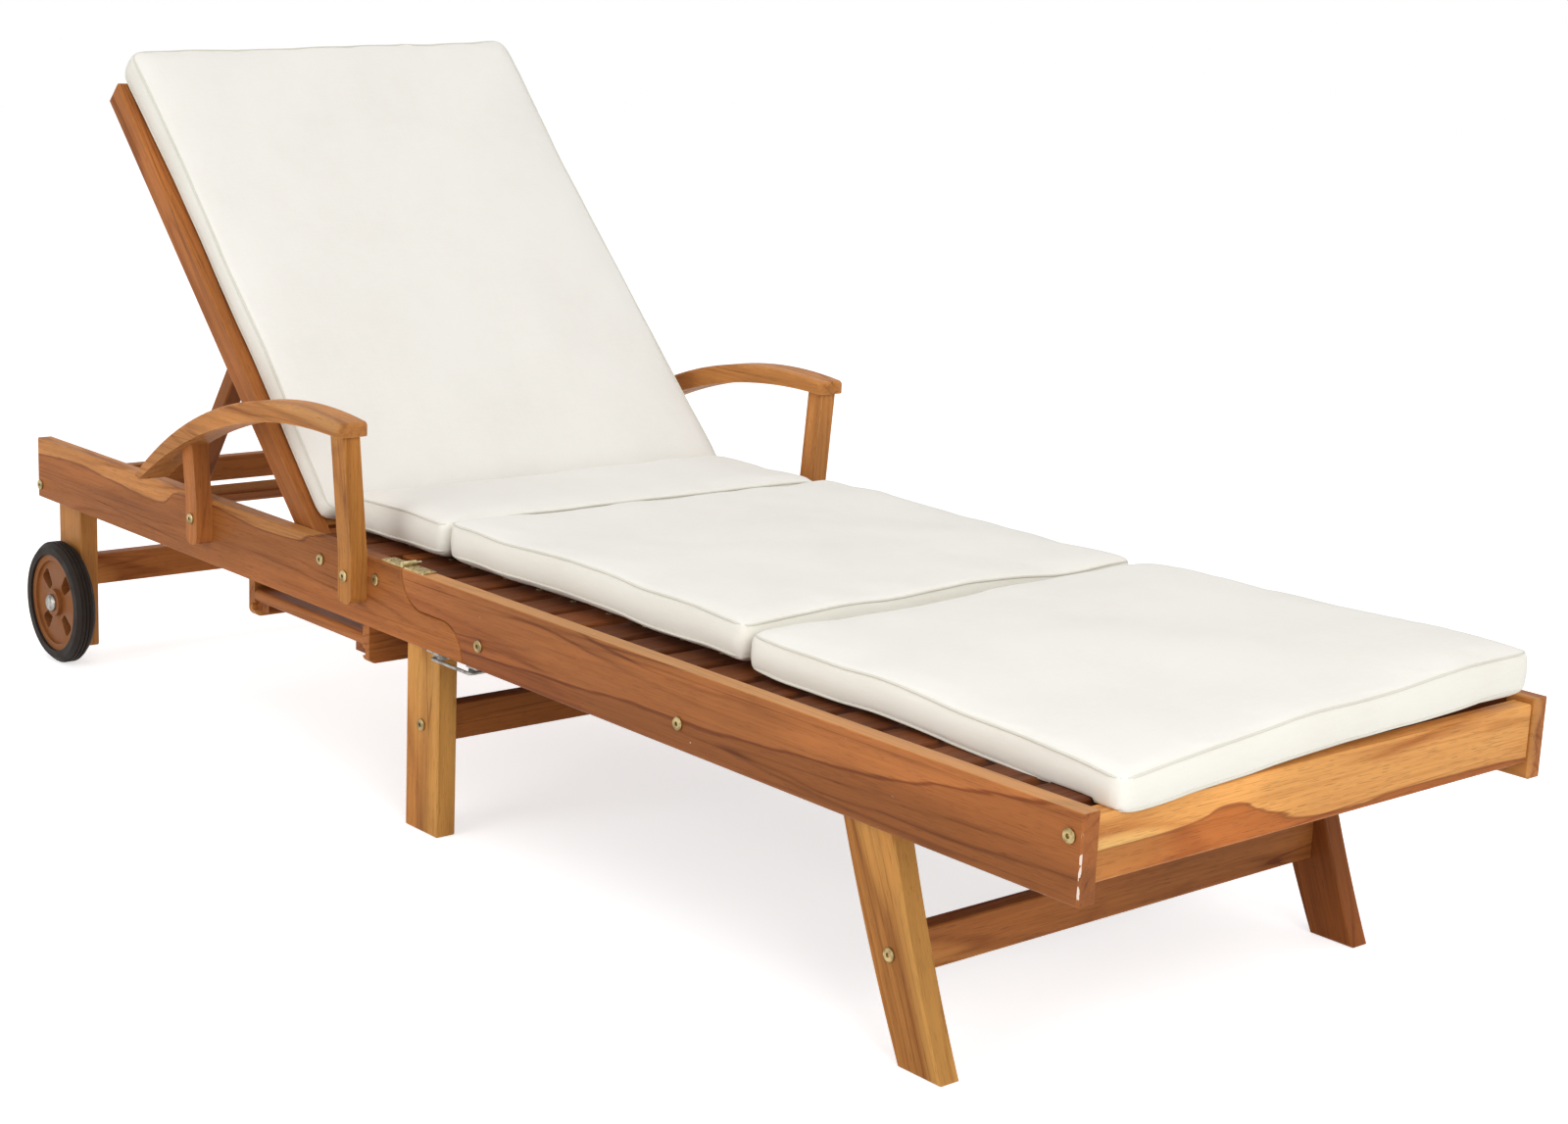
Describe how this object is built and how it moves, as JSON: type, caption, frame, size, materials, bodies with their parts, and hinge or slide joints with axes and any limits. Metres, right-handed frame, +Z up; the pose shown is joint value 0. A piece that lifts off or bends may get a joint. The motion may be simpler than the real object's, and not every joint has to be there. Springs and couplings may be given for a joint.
{
  "type": "folding sun lounger",
  "caption": "Folding teak sun lounger with an adjustable back, curved arms, two wheels, a pull-out tray and a cream pad.",
  "frame": {"origin": "middle of the bounding box, on the floor", "axes": "+X from the head end to the foot end, +Y to the left of a person who lies on it, +Z up"},
  "size_m": [2.034, 0.772, 0.8708],
  "materials": {
    "teak": "oiled",
    "teak_light": "oiled",
    "teak_slats": "oiled",
    "wheel_wood": "oiled",
    "pad_fabric": "woven",
    "black_rubber": "matte",
    "hinge_brass": "dull",
    "yellow_zinc": "yellow zinc",
    "bright_steel": "plain"
  },
  "bodies": {
    "frame": {"head_rail_right": "teak", "head_rail_left": "teak", "head_end_board": "teak", "rear_leg_right": "teak", "rear_leg_left": "teak", "mid_leg_right": "teak", "mid_leg_left": "teak", "rear_stretcher": "teak", "mid_stretcher": "teak", "seat_ledgers": "teak", "seat_slats": "teak_slats", "seat_cross_rail": "teak", "rack_right": "teak", "rack_left": "teak", "armrest_right": "teak", "armrest_left": "teak", "arm_post_front_right": "teak", "arm_post_front_left": "teak", "arm_post_rear_right": "teak", "arm_post_rear_left": "teak", "tray_runner_front": "teak", "tray_runner_rear": "teak", "hinge_leaves_head": "hinge_brass", "hinge_pins": "hinge_brass", "axle_bolt_right": "bright_steel", "axle_bolt_left": "bright_steel", "frame_bolts": "yellow_zinc", "pivot_bolts": "yellow_zinc", "cushion_seat": "pad_fabric", "latch_bracket": "bright_steel"},
    "backrest": {"backrest_stile_right": "teak", "backrest_stile_left": "teak", "backrest_top_rail": "teak", "backrest_slats": "teak_slats", "prop_rod": "bright_steel", "cushion_back": "pad_fabric"},
    "prop": {"prop_leg_right": "teak", "prop_leg_left": "teak", "prop_bar": "teak"},
    "foot_half": {"foot_rail_right": "teak", "foot_rail_left": "teak", "foot_end_board": "teak_light", "foot_leg_right": "teak_light", "foot_leg_left": "teak_light", "foot_stretcher": "teak", "foot_ledgers": "teak", "foot_slats": "teak_slats", "foot_cross_rails": "teak", "hinge_leaves_foot": "hinge_brass", "foot_bolts": "yellow_zinc", "cushion_middle": "pad_fabric", "cushion_foot": "pad_fabric", "latch_keeper": "bright_steel"},
    "tray": {"tray_battens": "teak", "tray_slats": "teak_slats"},
    "wheel_right": {"wheel_disc_right": "wheel_wood", "tyre_right": "black_rubber"},
    "wheel_left": {"wheel_disc_left": "wheel_wood", "tyre_left": "black_rubber"},
    "latch": {"latch_bail": "bright_steel"}
  },
  "joints": [
    {"name": "backrest_tilt", "type": "hinge", "parent": "frame", "child": "backrest", "pos_m": [-0.266, 0, 0.285], "axis": [0, -1, 0], "range_deg": [0, 45]},
    {"name": "prop_swing", "type": "hinge", "parent": "backrest", "child": "prop", "pos_m": [-0.51879, 0, 0.52436], "axis": [0, 1, 0], "range_deg": [0, 98.08]},
    {"name": "foot_fold", "type": "hinge", "parent": "frame", "child": "foot_half", "pos_m": [-0.036, 0, 0.3178], "axis": [0, -1, 0], "range_deg": [0, 105], "deforming": ["cushion_seat"]},
    {"name": "tray_slide", "type": "slide", "parent": "frame", "child": "tray", "axis": [0, -1, 0], "range_m": [0, 0.28]},
    {"name": "wheel_spin_right", "type": "hinge", "parent": "frame", "child": "wheel_right", "pos_m": [-0.931, -0.336, 0.086], "axis": [0, 1, 0], "continuous": true},
    {"name": "wheel_spin_left", "type": "hinge", "parent": "frame", "child": "wheel_left", "pos_m": [-0.931, 0.336, 0.086], "axis": [0, 1, 0], "continuous": true},
    {"name": "latch_swing", "type": "hinge", "parent": "frame", "child": "latch", "pos_m": [0.029, -0.3285, 0.222], "axis": [0, 1, 0], "range_deg": [0, 90]}
  ],
  "couplings": [
    {"joint": "prop_swing", "follows": "backrest_tilt", "ratio": 2.1796}
  ]
}
